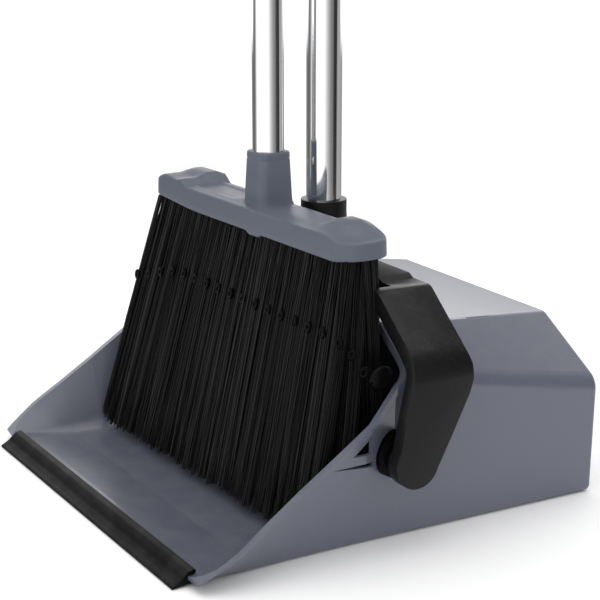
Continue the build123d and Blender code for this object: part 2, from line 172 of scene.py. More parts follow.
def mix_colour(tree, share, first, second):
    """First where share is 0, second where it is 1."""
    node = add(tree, "ShaderNodeMix", {"Factor": share}, data_type="RGBA")
    for socket, value in ((node.inputs[6], first), (node.inputs[7], second)):
        if isinstance(value, bpy.types.NodeSocket):
            tree.links.new(value, socket)
        else:
            socket.default_value = value
    return node.outputs[2]


def remap(tree, value, low, high, to_low=0.0, to_high=1.0):
    """Value from low..high to to_low..to_high, held at the ends."""
    return add(tree, "ShaderNodeMapRange", {
        "Value": value, "From Min": low, "From Max": high, "To Min": to_low, "To Max": to_high,
    }).outputs["Result"]


def new_group(kind, name, inputs, outputs):
    """An empty node group with named sockets, and its input and output nodes."""
    tree = bpy.data.node_groups.new(name, kind)
    for socket_name, socket_type, default in inputs:
        socket = tree.interface.new_socket(socket_name, in_out="INPUT", socket_type=socket_type)
        if default is not None:
            socket.default_value = default
    for socket_name, socket_type in outputs:
        tree.interface.new_socket(socket_name, in_out="OUTPUT", socket_type=socket_type)
    return tree, tree.nodes.new("NodeGroupInput"), tree.nodes.new("NodeGroupOutput")


FLOAT = "NodeSocketFloat"
VECTOR = "NodeSocketVector"
INTEGER = "NodeSocketInt"


# ---- shared surface effects ----------------------------------------------------------------
def grain_group():
    """Fine moulded grain: a height, and slow changes of tone and gloss."""
    tree, given, out = new_group(
        "ShaderNodeTree", "moulded_grain",
        [("Scale", FLOAT, 1200.0), ("Patch Scale", FLOAT, 18.0), ("Roughness", FLOAT, 0.4),
         ("Gloss Change", FLOAT, 0.06), ("Tone Change", FLOAT, 0.05)],
        [("Height", FLOAT), ("Roughness", FLOAT), ("Tone", FLOAT)])
    place = add(tree, "ShaderNodeTexCoord").outputs["Object"]
    fine = add(tree, "ShaderNodeTexNoise", {
        "Vector": place, "Scale": given.outputs["Scale"], "Detail": 2.0, "Roughness": 0.6}).outputs[0]
    patches = add(tree, "ShaderNodeTexNoise", {
        "Vector": place, "Scale": given.outputs["Patch Scale"], "Detail": 4.0}).outputs[0]
    swing = calc(tree, "SUBTRACT", patches, 0.5)
    gloss = calc(tree, "MULTIPLY_ADD", swing, given.outputs["Gloss Change"], given.outputs["Roughness"])
    speck = calc(tree, "MULTIPLY_ADD", calc(tree, "SUBTRACT", fine, 0.5), 0.08, gloss)
    tone = calc(tree, "MULTIPLY_ADD", swing, given.outputs["Tone Change"], 1.0)
    tree.links.new(fine, out.inputs["Height"])
    tree.links.new(speck, out.inputs["Roughness"])
    tree.links.new(tone, out.inputs["Tone"])
    return tree


def scuff_group():
    """Fine hairline marks along one direction, as a mask."""
    tree, given, out = new_group(
        "ShaderNodeTree", "hairline_scuffs",
        [("Stretch", VECTOR, (40.0, 900.0, 900.0)), ("Amount", FLOAT, 0.3)],
        [("Mask", FLOAT)])
    place = add(tree, "ShaderNodeTexCoord").outputs["Object"]
    drawn = add(tree, "ShaderNodeVectorMath", {0: place, 1: given.outputs["Stretch"]},
                operation="MULTIPLY")
    lines = add(tree, "ShaderNodeTexNoise", {"Vector": drawn.outputs[0], "Scale": 1.0, "Detail": 2.0})
    thin = remap(tree, lines.outputs[0], 0.62, 0.72)
    patches = add(tree, "ShaderNodeTexNoise", {"Vector": place, "Scale": 22.0, "Detail": 3.0}).outputs[0]
    where = remap(tree, patches, 0.45, 0.7)
    mask = calc(tree, "MULTIPLY", calc(tree, "MULTIPLY", thin, where), given.outputs["Amount"])
    tree.links.new(mask, out.inputs["Mask"])
    return tree


def dust_group():
    """A thin film of dust on faces that look up, as a mask."""
    tree, given, out = new_group(
        "ShaderNodeTree", "settled_dust",
        [("Amount", FLOAT, 0.1), ("Scale", FLOAT, 60.0)], [("Mask", FLOAT)])
    facing = add(tree, "ShaderNodeSeparateXYZ", {0: add(tree, "ShaderNodeNewGeometry").outputs["Normal"]})
    up = remap(tree, facing.outputs["Z"], 0.5, 1.0)
    place = add(tree, "ShaderNodeTexCoord").outputs["Object"]
    patches = add(tree, "ShaderNodeTexNoise", {
        "Vector": place, "Scale": given.outputs["Scale"], "Detail": 6.0, "Roughness": 0.7}).outputs[0]
    mask = calc(tree, "MULTIPLY", calc(tree, "MULTIPLY", up, remap(tree, patches, 0.4, 0.75)),
                given.outputs["Amount"])
    tree.links.new(mask, out.inputs["Mask"])
    return tree


GROUP_MAKERS = {"moulded_grain": grain_group, "hairline_scuffs": scuff_group, "settled_dust": dust_group}


def effect(tree, name, **inputs):
    """A shared effect placed in a material."""
    group = bpy.data.node_groups.get(name) or GROUP_MAKERS[name]()
    node = add(tree, "ShaderNodeGroup", node_tree=group)
    for key, value in inputs.items():
        node.inputs[key.replace("_", " ").title()].default_value = value
    return node


# ---- materials -----------------------------------------------------------------------------
def surface(name, colour, roughness, grain=1200.0, depth=0.0, gloss_change=0.08, tone_change=0.06,
            dust=0.0, scuffs=0.0, stretch=(40.0, 900.0, 900.0), metallic=0.0, coat=0.0, specular=0.5):
    """A plastic, rubber or metal finish, from the shared effects and its own values."""
    material = bpy.data.materials.get(name)
    if material:
        return material
    material = bpy.data.materials.new(name)
    material.use_nodes = True
    tree = material.node_tree
    shader = tree.nodes["Principled BSDF"]
    shader.inputs["Metallic"].default_value = metallic
    shader.inputs["Coat Weight"].default_value = coat
    shader.inputs["Coat Roughness"].default_value = 0.12
    shader.inputs["Specular IOR Level"].default_value = specular
    grain_node = effect(tree, "moulded_grain", scale=grain, roughness=roughness,
                        gloss_change=gloss_change, tone_change=tone_change)
    base = mix_colour(tree, remap(tree, grain_node.outputs["Tone"], 1 - tone_change, 1 + tone_change),
                      (*[c * (1 - tone_change) for c in colour], 1),
                      (*[min(1, c * (1 + tone_change)) for c in colour], 1))
    rough = grain_node.outputs["Roughness"]
    if scuffs:
        marks = effect(tree, "hairline_scuffs", stretch=stretch, amount=scuffs).outputs["Mask"]
        pale = [c + (0.75 - c) * 0.35 for c in colour]
        base = mix_colour(tree, marks, base, (*pale, 1))
        rough = calc(tree, "MULTIPLY_ADD", marks, 0.25, rough)
    if dust:
        film = effect(tree, "settled_dust", amount=dust).outputs["Mask"]
        base = mix_colour(tree, film, base, (0.42, 0.40, 0.37, 1))
        rough = calc(tree, "MULTIPLY_ADD", film, 0.4, rough)
    tree.links.new(base, shader.inputs["Base Color"])
    tree.links.new(rough, shader.inputs["Roughness"])
    if depth:
        bump = add(tree, "ShaderNodeBump", {
            "Strength": 1.0, "Distance": depth, "Height": grain_node.outputs["Height"]})
        tree.links.new(bump.outputs["Normal"], shader.inputs["Normal"])
    return material


def pan_plastic():
    """Satin grey plastic of the pan."""
    return surface("pan_plastic", settings().finishes.pan, 0.34, grain=1500, depth=0.015 * MM, dust=0.10,
                   scuffs=0.12, gloss_change=0.07, tone_change=0.03, coat=0.26)


def block_plastic():
    """Grey plastic of the broom's block, a shade darker and duller than the pan."""
    return surface("block_shell_plastic", settings().finishes.block, 0.42, grain=1700, depth=0.02 * MM,
                   dust=0.08, scuffs=0.08, gloss_change=0.08, tone_change=0.04, specular=0.3)


def yoke_plastic():
    """Black plastic with a fine spark-eroded grain."""
    return surface("yoke_plastic", settings().finishes.yoke, 0.36, grain=2600, depth=0.03 * MM,
                   dust=0.05, scuffs=0.10, gloss_change=0.08, tone_change=0.10, specular=0.17,
                   coat=0.04)


def lip_rubber():
    """Black extruded rubber with drawn lines along its length."""
    return surface("lip_rubber", settings().finishes.lip, 0.40, grain=900, depth=0.02 * MM, dust=0.06,
                   scuffs=0.12, stretch=(12.0, 1500.0, 1500.0), gloss_change=0.12, tone_change=0.15,
                   specular=0.1)


def grip_plastic():
    """Soft-touch dark grey plastic of the grips, caps and sleeves."""
    return surface("grip_plastic", settings().finishes.grip, 0.62, grain=2200, depth=0.05 * MM,
                   dust=0.10, gloss_change=0.10, tone_change=0.12)


def polished_steel():
    """Polished steel tube with faint lines drawn along it."""
    return surface("polished_tube", settings().finishes.steel, 0.09, grain=700, gloss_change=0.05,
                   tone_change=0.03, scuffs=0.25, stretch=(2600.0, 2600.0, 14.0), metallic=1.0)


def screw_steel():
    """Zinc-plated steel of the screws, pins and retainers."""
    return surface("screw_steel", (0.62, 0.60, 0.55), 0.30, grain=2400, depth=0.01 * MM,
                   gloss_change=0.15, tone_change=0.10, scuffs=0.4, stretch=(1500.0, 90.0, 1500.0),
                   metallic=1.0)


def hinge_nylon():
    """Black nylon of the binding loops and the plug in the broom's tube, and of the hinge bushes, where its
    black stands in as painted shade in the gap between the pan's wall and the yoke.
    """
    return surface("hinge_nylon", (0.0018, 0.0018, 0.0019), 0.36, grain=1800, depth=0.02 * MM,
                   tone_change=0.15, specular=0.06)


def bristle_plastic():
    """Black drawn plastic. Each strand's tone comes from the attribute that its tree stores and differs at
    random. The lighter strands paint highlight streaks, and the strands on a tuft's sides are darker as
    painted shade between the tufts.
    """
    material = bpy.data.materials.get("bristle_plastic")
    if material:
        return material
    material = bpy.data.materials.new("bristle_plastic")
    material.use_nodes = True
    tree = material.node_tree
    shader = tree.nodes["Principled BSDF"]
    shader.inputs["Specular IOR Level"].default_value = 0.22
    colour = settings().finishes.bristle
    own = add(tree, "ShaderNodeAttribute", attribute_name="strand_shade").outputs["Fac"]
    grain_node = effect(tree, "moulded_grain", scale=900.0, roughness=0.34, gloss_change=0.1)
    # from near black to five times the colour: the light end paints highlight streaks along the strands
    base = mix_colour(tree, own, (*[c * 0.05 for c in colour], 1), (*[c * 5.0 for c in colour], 1))
    tree.links.new(base, shader.inputs["Base Color"])
    tree.links.new(calc(tree, "MULTIPLY_ADD", own, 0.12, grain_node.outputs["Roughness"]),
                   shader.inputs["Roughness"])
    return material


# ---- meshes --------------------------------------------------------------------------------
def mesh_piece(name, points, faces, material, sharp=35.0):
    """A piece from points and faces, closed and facing outwards."""
    mesh = bpy.data.meshes.new(name)
    mesh.from_pydata(points, [], faces)
    work = bmesh.new()
    work.from_mesh(mesh)
    bmesh.ops.remove_doubles(work, verts=work.verts, dist=1e-6)
    bmesh.ops.recalc_face_normals(work, faces=work.faces)
    work.to_mesh(mesh)
    work.free()
    piece = bpy.data.objects.new(name, mesh)
    bpy.context.scene.collection.objects.link(piece)
    smooth(piece, sharp)
    mesh.materials.append(material)
    return piece


def smooth(piece, sharp):
    """Smooth shading, with edges sharper than that many degrees kept."""
    piece.data.shade_smooth()
    piece.data.set_sharp_from_angle(angle=math.radians(sharp))


def settle(piece):
    """Turn a piece's modifiers into plain mesh."""
    graph = bpy.context.evaluated_depsgraph_get()
    mesh = bpy.data.meshes.new_from_object(piece.evaluated_get(graph))
    piece.modifiers.clear()
    mesh.name = piece.name
    piece.data = mesh
    return piece


def softened(node, name, width, material, sharp=50.0):
    """A copy of a frame node with its edges rounded."""
    piece = bpy.data.objects.new(name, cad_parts[node].data.copy())
    bpy.context.scene.collection.objects.link(piece)
    work = bmesh.new()
    work.from_mesh(piece.data)
    bmesh.ops.remove_doubles(work, verts=work.verts, dist=2e-5)
    bmesh.ops.dissolve_limit(
        work, angle_limit=math.radians(1.0), verts=work.verts, edges=work.edges)
    work.to_mesh(piece.data)
    work.free()
    bevel = piece.modifiers.new("edges", "BEVEL")
    bevel.width = width
    bevel.segments = 3
    bevel.limit_method = "ANGLE"
    bevel.angle_limit = math.radians(28)
    settle(piece)
    piece.data.materials.clear()
    piece.data.materials.append(material)
    smooth(piece, sharp)
    return piece


def loft(rings, closed_ends=True):
    """Points and faces of a skin over rings that have the same number of points."""
    count = len(rings[0])
    points = [point for ring in rings for point in ring]
    faces = []
    for n in range(len(rings) - 1):
        for k in range(count):
            after = (k + 1) % count
            faces.append((n * count + k, n * count + after, (n + 1) * count + after, (n + 1) * count + k))
    if closed_ends:
        faces.append(tuple(range(count)))
        faces.append(tuple((len(rings) - 1) * count + k for k in range(count)))
    return points, faces


def turned(profile, segments, place):
    """Points and faces of a closed profile of (radius, height), turned right round.

    Place makes a point from the radius, the height, and the angle's cosine and sine.
    """
    rings = []
    for step in range(segments):
        angle = math.tau * step / segments
        rings.append([place(r, height, math.cos(angle), math.sin(angle)) for r, height in profile])
    return loft([*rings, rings[0]], closed_ends=False)


def rounded(corners, radius, steps=5):
    """A closed outline whose corners are drawn as small curves."""
    outline = []
    count = len(corners)
    for k in range(count):
        before, corner, after = (Vector(corners[(k + d) % count]) for d in (-1, 0, 1))
        reach_in = min(radius, (before - corner).length * 0.45)
        reach_out = min(radius, (after - corner).length * 0.45)
        start = corner + (before - corner).normalized() * reach_in
        end = corner + (after - corner).normalized() * reach_out
        for step in range(steps + 1):
            t = step / steps
            outline.append(start * (1 - t) ** 2 + corner * 2 * t * (1 - t) + end * t ** 2)
    return outline


def smoothstep(low, high, value):
    """0 below low, 1 above high, and smooth between them."""
    t = min(1.0, max(0.0, (value - low) / (high - low)))
    return t * t * (3 - 2 * t)


def on_broom(u, v, z):
    """A point given in the broom's own frame: u along the block, v backwards."""
    return Vector((
        BROOM_TUBE.x + u * math.cos(BROOM_TURN) - v * math.sin(BROOM_TURN),
        BROOM_TUBE.y + u * math.sin(BROOM_TURN) + v * math.cos(BROOM_TURN),
        z))


def place_piece(piece, body, slot, *nodes):
    """Hand a finished piece to the frame."""
    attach(piece, body)
    if nodes:
        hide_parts(*nodes)
    return piece


def refinish(node, material):
    """Give a frame node that stays a better material."""
    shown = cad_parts[node]
    shown.data.materials.clear()
    shown.data.materials.append(material)
    return shown


# ---- geometry node trees -------------------------------------------------------------------
def put_input(piece, modifier, name, value):
    """Set a modifier's input by the identifier of its socket."""
    for item in modifier.node_group.interface.items_tree:
        if item.item_type == "SOCKET" and item.in_out == "INPUT" and item.name == name:
            modifier[item.identifier] = value
            return
    raise ValueError(f"{piece.name} has no input {name}")


def grown(name, tree, points=((0, 0, 0),), turns=None, **inputs):
    """A plain mesh that a node tree makes from a few points."""
    mesh = bpy.data.meshes.new(name)
    mesh.from_pydata(points, [], [])
    if turns:
        attribute = mesh.attributes.new("turn", "FLOAT_VECTOR", "POINT")
        attribute.data.foreach_set("vector", [value for turn in turns for value in turn])
    piece = bpy.data.objects.new(name, mesh)
    bpy.context.scene.collection.objects.link(piece)
    modifier = piece.modifiers.new(tree.name, "NODES")
    modifier.node_group = tree
    for key, value in inputs.items():
        put_input(piece, modifier, key.replace("_", " ").title(), value)
    return settle(piece)


def finish_tree(tree, geometry, material, out):
    """Realize Instances and Set Material, at a tree's end."""
    real = add(tree, "GeometryNodeRealizeInstances", {"Geometry": geometry})
    painted = add(tree, "GeometryNodeSetMaterial", {
        "Geometry": real.outputs[0], "Material": material})
    tree.links.new(painted.outputs[0], out.inputs["Geometry"])


def chance(tree, low, high, seed, ident=None):
    """A random number for each element, or for each value of ident."""
    node = add(tree, "FunctionNodeRandomValue", {2: low, 3: high, 8: seed}, data_type="FLOAT")
    if ident is not None:
        tree.links.new(ident, node.inputs[7])
    return node.outputs[1]


FLARE_FROM, FLARE_FULL = 0.095, 0.135    # along X, where the near end's strands bow outwards
STRAND_POINTS = 6


def tuft_row_tree():
    """A row of tufts of bristles, from the block down to their tips."""
    lengths = [("Middle Top", 0.0), ("Middle Tip", 0.0), ("Half Top", 0.13), ("Half Tip", 0.14),
               ("Flare", 0.0), ("Wall", 0.1435), ("Top V", 0.0), ("Tip V", 0.0),
               ("Top Depth", 0.009), ("Tip Depth", 0.012), ("Root Z", 0.19), ("Tip Z", 0.008),
               ("Strand Radius", 0.0004), ("Bow", 0.001), ("Ragged", 0.004), ("Turn", 0.0),
               ("Middle Y", 0.0)]
    tree, given, out = new_group(
        "GeometryNodeTree", "tuft_row",
        [("Geometry", "NodeSocketGeometry", None), ("Tufts", INTEGER, 25), ("Strands", INTEGER, 50),
         *[(name, FLOAT, value) for name, value in lengths], ("Seed", INTEGER, 1),
         ("Material", "NodeSocketMaterial", None)],
        [("Geometry", "NodeSocketGeometry")])
    take = given.outputs
    plus, minus, times, over, fused = (
        partial(calc, tree, kind) for kind in ("ADD", "SUBTRACT", "MULTIPLY", "DIVIDE", "MULTIPLY_ADD"))

    def draw(number, low, high, ident=None):
        """A random number, from the row's seed and a number of its own."""
        return chance(tree, low, high, plus(take["Seed"], number), ident)

    def whole(value):
        """The same value all along a strand."""
        return add(tree, "GeometryNodeFieldOnDomain", {"Value": value}, domain="CURVE").outputs[0]

    index = add(tree, "GeometryNodeInputIndex").outputs[0]
    count = times(take["Tufts"], take["Strands"])
    tuft = calc(tree, "FLOOR", over(plus(index, 0.5), take["Strands"]))
    along = fused(over(plus(tuft, 0.5), take["Tufts"]), 2.0, -1.0)

    # where the strand stands in its tuft, and which of the tuft's three clumps it joins at the tips
    angle = chance(tree, 0.0, math.tau, take["Seed"])
    reach = calc(tree, "SQRT", draw(1, 0.0, 1.0))
    side = times(reach, calc(tree, "COSINE", angle))
    front = times(reach, calc(tree, "SINE", angle))
    clump = calc(tree, "FLOOR", fused(side, 1.499, 1.5))
    clump_id = fused(tuft, 3.0, clump)
    pitch_top = over(take["Half Top"], take["Tufts"])
    pitch_tip = over(take["Half Tip"], take["Tufts"])

    root_u = plus(fused(along, take["Half Top"], take["Middle Top"]), times(times(side, pitch_top), 0.72))
    root_v = fused(front, times(take["Top Depth"], 0.5), take["Top V"])
    root = vector(tree, root_u, root_v, take["Root Z"])

    clump_u = times(minus(clump, 1.0), times(pitch_tip, 0.60))
    stray = draw(2, -0.22, 0.22, clump_id)
    within = times(minus(side, times(minus(clump, 1.0), 0.66)), 0.8)
    free_u = plus(fused(along, take["Half Tip"], take["Middle Tip"]),
                  plus(clump_u, times(plus(within, stray), pitch_tip)))
    clump_v = times(draw(3, -0.22, 0.22, clump_id), take["Tip Depth"])
    tip_v = plus(clump_v, fused(front, times(take["Tip Depth"], 0.34), take["Tip V"]))
    uneven = times(plus(draw(4, 0.0, 0.6), draw(5, 0.0, 0.4, clump_id)), take["Ragged"])

    # tips that would pass through the pan's leaning side wall are held at it, and end higher
    shift = times(tip_v, calc(tree, "SINE", take["Turn"]))
    free_x = minus(free_u, shift)
    held_x = calc(tree, "MAXIMUM", calc(tree, "MINIMUM", free_x, take["Wall"]), times(take["Wall"], -1.0))
    past = minus(free_x, held_x)
    tip_u = plus(fused(past, 0.4, held_x), shift)
    raised = fused(calc(tree, "ABSOLUTE", past), 2.0, uneven)
    tip = vector(tree, tip_u, tip_v, plus(take["Tip Z"], raised))

    way = add(tree, "ShaderNodeVectorMath", {0: tip, 1: root}, operation="SUBTRACT").outputs[0]
    length = add(tree, "ShaderNodeVectorMath", {0: way}, operation="LENGTH").outputs["Value"]
    roots = add(tree, "GeometryNodePoints", {"Count": count, "Position": root, "Radius": 0.001})
    # the square of the strand's place across its tuft; below, it darkens the tuft's sides as painted shade
    marked = add(tree, "GeometryNodeStoreNamedAttribute", {
        "Geometry": roots.outputs[0], "Name": "edge", "Value": times(side, side)},
        data_type="FLOAT", domain="POINT")
    line = add(tree, "GeometryNodeCurvePrimitiveLine", {"Start": (0, 0, 0), "End": (0, 0, 1)})
    strand = add(tree, "GeometryNodeResampleCurve", {"Curve": line.outputs[0], "Count": STRAND_POINTS})
    turn = add(tree, "FunctionNodeAlignRotationToVector", {"Vector": way}, axis="Z")
    placed = add(tree, "GeometryNodeInstanceOnPoints", {
        "Points": marked.outputs[0], "Instance": strand.outputs[0], "Rotation": turn.outputs[0],
        "Scale": vector(tree, 1.0, 1.0, length)})
    strands = add(tree, "GeometryNodeRealizeInstances", {"Geometry": placed.outputs[0]}).outputs[0]

    # a slight bow, a tone of its own that is darker on the tuft's sides as painted shade between the tufts,
    # and a taper to the tip
    bow_x, bow_y = (whole(draw(number, -1.0, 1.0)) for number in (6, 7))
    down = add(tree, "GeometryNodeSplineParameter").outputs["Factor"]
    hump = times(times(down, minus(1.0, down)), 4.0)
    sway = times(hump, take["Bow"])
    here = add(tree, "ShaderNodeSeparateXYZ", {0: add(tree, "GeometryNodeInputPosition").outputs[0]})
    near_end = remap(tree, here.outputs["X"], FLARE_FROM, FLARE_FULL)
    flare = times(times(near_end, near_end), times(hump, take["Flare"]))
    drift = vector(tree, fused(bow_x, sway, flare), times(bow_y, sway))
    bowed = add(tree, "GeometryNodeSetPosition", {"Geometry": strands, "Offset": drift}).outputs[0]
    own_shade = whole(draw(9, 0.0, 1.0))
    edge = add(tree, "GeometryNodeInputNamedAttribute", {"Name": "edge"}, data_type="FLOAT").outputs[0]
    # random tone, made up to 85 per cent darker on the tuft's sides as painted shade in the gaps between
    # tufts
    shade = times(calc(tree, "POWER", own_shade, 2.2), fused(edge, -0.85, 1.0))
    shaded = add(tree, "GeometryNodeStoreNamedAttribute", {
        "Geometry": bowed, "Name": "strand_shade", "Value": shade},
        data_type="FLOAT", domain="POINT").outputs[0]
    ring = add(tree, "GeometryNodeCurvePrimitiveCircle", {
        "Resolution": 4, "Radius": take["Strand Radius"]}, mode="RADIUS").outputs[0]
    skin = add(tree, "GeometryNodeCurveToMesh", {
        "Curve": shaded, "Profile Curve": ring, "Scale": fused(down, -0.35, 1.0),
        "Fill Caps": True}).outputs[0]
    soft = add(tree, "GeometryNodeSetShadeSmooth", {"Geometry": skin}).outputs[0]
    spin = add(tree, "FunctionNodeEulerToRotation", {0: vector(tree, z=take["Turn"])}).outputs[0]
    set_down = add(tree, "GeometryNodeTransform", {
        "Geometry": soft, "Translation": vector(tree, y=take["Middle Y"]), "Rotation": spin}).outputs[0]
    finish_tree(tree, set_down, take["Material"], out)
    return tree


def ring_stack_tree():
    """Rings of one size, one above another."""
    tree, given, out = new_group(
        "GeometryNodeTree", "ring_stack",
        [("Geometry", "NodeSocketGeometry", None), ("Count", INTEGER, 10), ("Ring Radius", FLOAT, 0.015),
         ("Bead Radius", FLOAT, 0.001), ("Pitch", FLOAT, 0.005), ("Flatten", FLOAT, 1.0),
         ("Material", "NodeSocketMaterial", None)],
        [("Geometry", "NodeSocketGeometry")])
    take = given.outputs
    hoop = add(tree, "GeometryNodeCurvePrimitiveCircle", {
        "Resolution": 56, "Radius": take["Ring Radius"]}, mode="RADIUS").outputs[0]
    bead = add(tree, "GeometryNodeCurvePrimitiveCircle", {
        "Resolution": 10, "Radius": take["Bead Radius"]}, mode="RADIUS").outputs[0]
    ring = add(tree, "GeometryNodeCurveToMesh", {"Curve": hoop, "Profile Curve": bead}).outputs[0]
    soft = add(tree, "GeometryNodeSetShadeSmooth", {"Geometry": ring}).outputs[0]
    stack = add(tree, "GeometryNodeMeshLine", {
        "Count": take["Count"], "Offset": vector(tree, z=take["Pitch"])}, mode="OFFSET").outputs[0]
    start = add(tree, "GeometryNodeInputPosition").outputs[0]
    middle = add(tree, "GeometryNodeSampleIndex", {
        "Geometry": take["Geometry"], "Value": start, "Index": 0}, data_type="FLOAT_VECTOR").outputs[0]
    moved = add(tree, "GeometryNodeSetPosition", {"Geometry": stack, "Offset": middle}).outputs[0]
    placed = add(tree, "GeometryNodeInstanceOnPoints", {
        "Points": moved, "Instance": soft, "Scale": vector(tree, 1.0, 1.0, take["Flatten"])}).outputs[0]
    finish_tree(tree, placed, take["Material"], out)
    return tree


def fixings_tree():
    """One object repeated on every point, turned as each point's attribute says."""
    tree, given, out = new_group(
        "GeometryNodeTree", "fixings",
        [("Geometry", "NodeSocketGeometry", None), ("Fixing", "NodeSocketObject", None),
         ("Material", "NodeSocketMaterial", None)],
        [("Geometry", "NodeSocketGeometry")])
    take = given.outputs
    spots = add(tree, "GeometryNodeMeshToPoints", {"Mesh": take["Geometry"], "Radius": 0.001}).outputs[0]
    turn = add(tree, "GeometryNodeInputNamedAttribute", {"Name": "turn"}, data_type="FLOAT_VECTOR")
    rotation = add(tree, "FunctionNodeEulerToRotation", {0: turn.outputs[0]}).outputs[0]
    part = add(tree, "GeometryNodeObjectInfo", {"Object": take["Fixing"]}).outputs["Geometry"]
    placed = add(tree, "GeometryNodeInstanceOnPoints", {
        "Points": spots, "Instance": part, "Rotation": rotation}).outputs[0]
    finish_tree(tree, placed, take["Material"], out)
    return tree


def tree_named(name, maker):
    """The tree of that name, made the first time."""
    return bpy.data.node_groups.get(name) or maker()


def settings():
    """The scene's settings."""
    return bpy.context.scene.dustpan


class DustpanSettings(bpy.types.PropertyGroup):
    """All settings of the set."""
    finishes: bpy.props.PointerProperty(
        name="Finishes", description="Colours of the materials", type=DustpanFinishes)
    bristles: bpy.props.PointerProperty(
        name="Bristles", description="Sizes and counts of the bristles", type=DustpanBristles)
    shapes: bpy.props.PointerProperty(
        name="Shapes", description="Sizes of the shapes' finishing", type=DustpanShapes)
    stage: bpy.props.PointerProperty(
        name="Stage", description="The camera and the lights", type=DustpanStage)


# ---- the pan -------------------------------------------------------------------------------
class DUSTPAN_OT_pan_shell(bpy.types.Operator):
    """Finish the moulded pan"""
    bl_idname = "dustpan.pan_shell"
    bl_label = "Pan shell"

    def execute(self, context):
        refinish("pan_shell", pan_plastic())
        return {"FINISHED"}


LIP_PROFILE = [                      # y from the lip's front tip and z, in millimetres
    (0.0, 0.0), (0.3, 1.5), (3.4, 3.0), (6.6, 5.0), (9.4, 7.6), (12.2, 9.8), (16.4, 11.0), (17.2, 9.6),
    (16.6, 7.6), (11.2, 7.5), (11.2, 4.3), (21.4, 3.4), (21.8, 1.4), (11.4, 1.6),
]


class DUSTPAN_OT_rubber_lip(bpy.types.Operator):
    """Make the pan's rubber lip, with its drawn ridges and rounded edges"""
    bl_idname = "dustpan.rubber_lip"
    bl_label = "Rubber lip"

    def execute(self, context):
        corners = [(LIP_LOW.y + y * MM, LIP_LOW.z + z * MM) for y, z in LIP_PROFILE]
        outline = rounded(corners, 0.9 * MM)
        stations = 80
        rings = []
        for k in range(stations + 1):
            x = LIP_LOW.x + (LIP_HIGH.x - LIP_LOW.x) * k / stations
            rings.append([(x, point.x, point.y) for point in outline])
        points, faces = loft(rings)
        lip = mesh_piece("lip_strip", points, faces, lip_rubber(), sharp=50)
        place_piece(lip, "pan", "black_rubber", "rubber_lip")
        return {"FINISHED"}


# the bush's section: radii, and places outwards from its inner end, in millimetres
BUSH_BORE_R = 4.3
BUSH_FACE_R = 12.6
# the skirt reaches in towards the pan's wall, so that the black bush fills the gap under the yoke as
# painted shade
BUSH_SHADE_SKIRT = [(13.6, 0.0), (15.1, -5.4), (16.4, -5.4), (15.6, 1.6), (12.6, 2.6)]
BUSH_FACE_GAP = 0.05                 # keeps the bush's outer face off the yoke
BUSH_EDGE = 0.5
BUSH_SEGMENTS = 48


class DUSTPAN_OT_hinge(bpy.types.Operator):
    """Make the hinge's black bushes, washers widened with a skirt as painted shade in the gap between the
    pan's wall and the yoke, and finish its pins and retainers
    """
    bl_idname = "dustpan.hinge"
    bl_label = "Hinge"

    def execute(self, context):
        for side, sign in (("left", -1), ("right", 1)):
            refinish(f"pivot_pin_{side}", screw_steel())
            low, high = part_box(f"pivot_washer_{side}")
            near, far = sorted((abs(low.x) / MM, abs(high.x) / MM))
            face = far - BUSH_FACE_GAP
            middle = (low + high) / 2
            corners = [(BUSH_BORE_R, near), *[(r, near + out) for r, out in BUSH_SHADE_SKIRT],
                       (BUSH_FACE_R, face), (BUSH_BORE_R, face)]
            points, faces = turned(
                rounded(corners, BUSH_EDGE), BUSH_SEGMENTS,
                lambda r, x, cosine, sine: (
                    sign * x * MM, middle.y + r * MM * cosine, middle.z + r * MM * sine))
            # a black washer on the pin, widened to paint the shade in the gap between the pan's wall and
            # the yoke
            bush = mesh_piece(f"hinge_bush_{side}", points, faces, hinge_nylon(), sharp=40)
            place_piece(bush, "handle", "washer_nylon", f"pivot_washer_{side}")
            refinish(f"pivot_retainer_{side}", screw_steel())
        return {"FINISHED"}


class DUSTPAN_OT_yoke(bpy.types.Operator):
    """Round the yoke's edges and give it its black plastic"""
    bl_idname = "dustpan.yoke"
    bl_label = "Yoke"

    def execute(self, context):
        strap = softened("yoke", "yoke_strap", settings().shapes.yoke_edge, yoke_plastic())
        place_piece(strap, "handle", "black_plastic", "yoke")
        return {"FINISHED"}


# ---- handles -------------------------------------------------------------------------------
class DUSTPAN_OT_tubes(bpy.types.Operator):
    """Polish the steel tubes"""
    bl_idname = "dustpan.tubes"
    bl_label = "Tubes"

    def execute(self, context):
        for node in ("pan_tube_lower", "pan_tube_upper", "broom_tube_lower", "broom_tube_upper"):
            refinish(node, polished_steel())
        refinish("broom_tube_plug", hinge_nylon())
        return {"FINISHED"}


SLEEVE_SEGMENTS = 64
SLEEVE_ROUND = 1.4 * MM              # rounding of a sleeve's ends
BEAD_R = 1.1 * MM                    # the raised rings
BEAD_FLATTEN = 1.6                   # how much taller than deep a ring is
JOINT_RINGS = 2
GRIP_WAIST = 0.5 * MM


def sleeve_profile(inner, outer, low, high, waist):
    """Radius and height round a sleeve's section, with rounded ends and a slight waist."""
    corners = [
        (inner, low), (outer, low), (outer - waist, (low + high) / 2), (outer, high), (inner, high)]
    return [tuple(point) for point in rounded(corners, SLEEVE_ROUND, 6)]


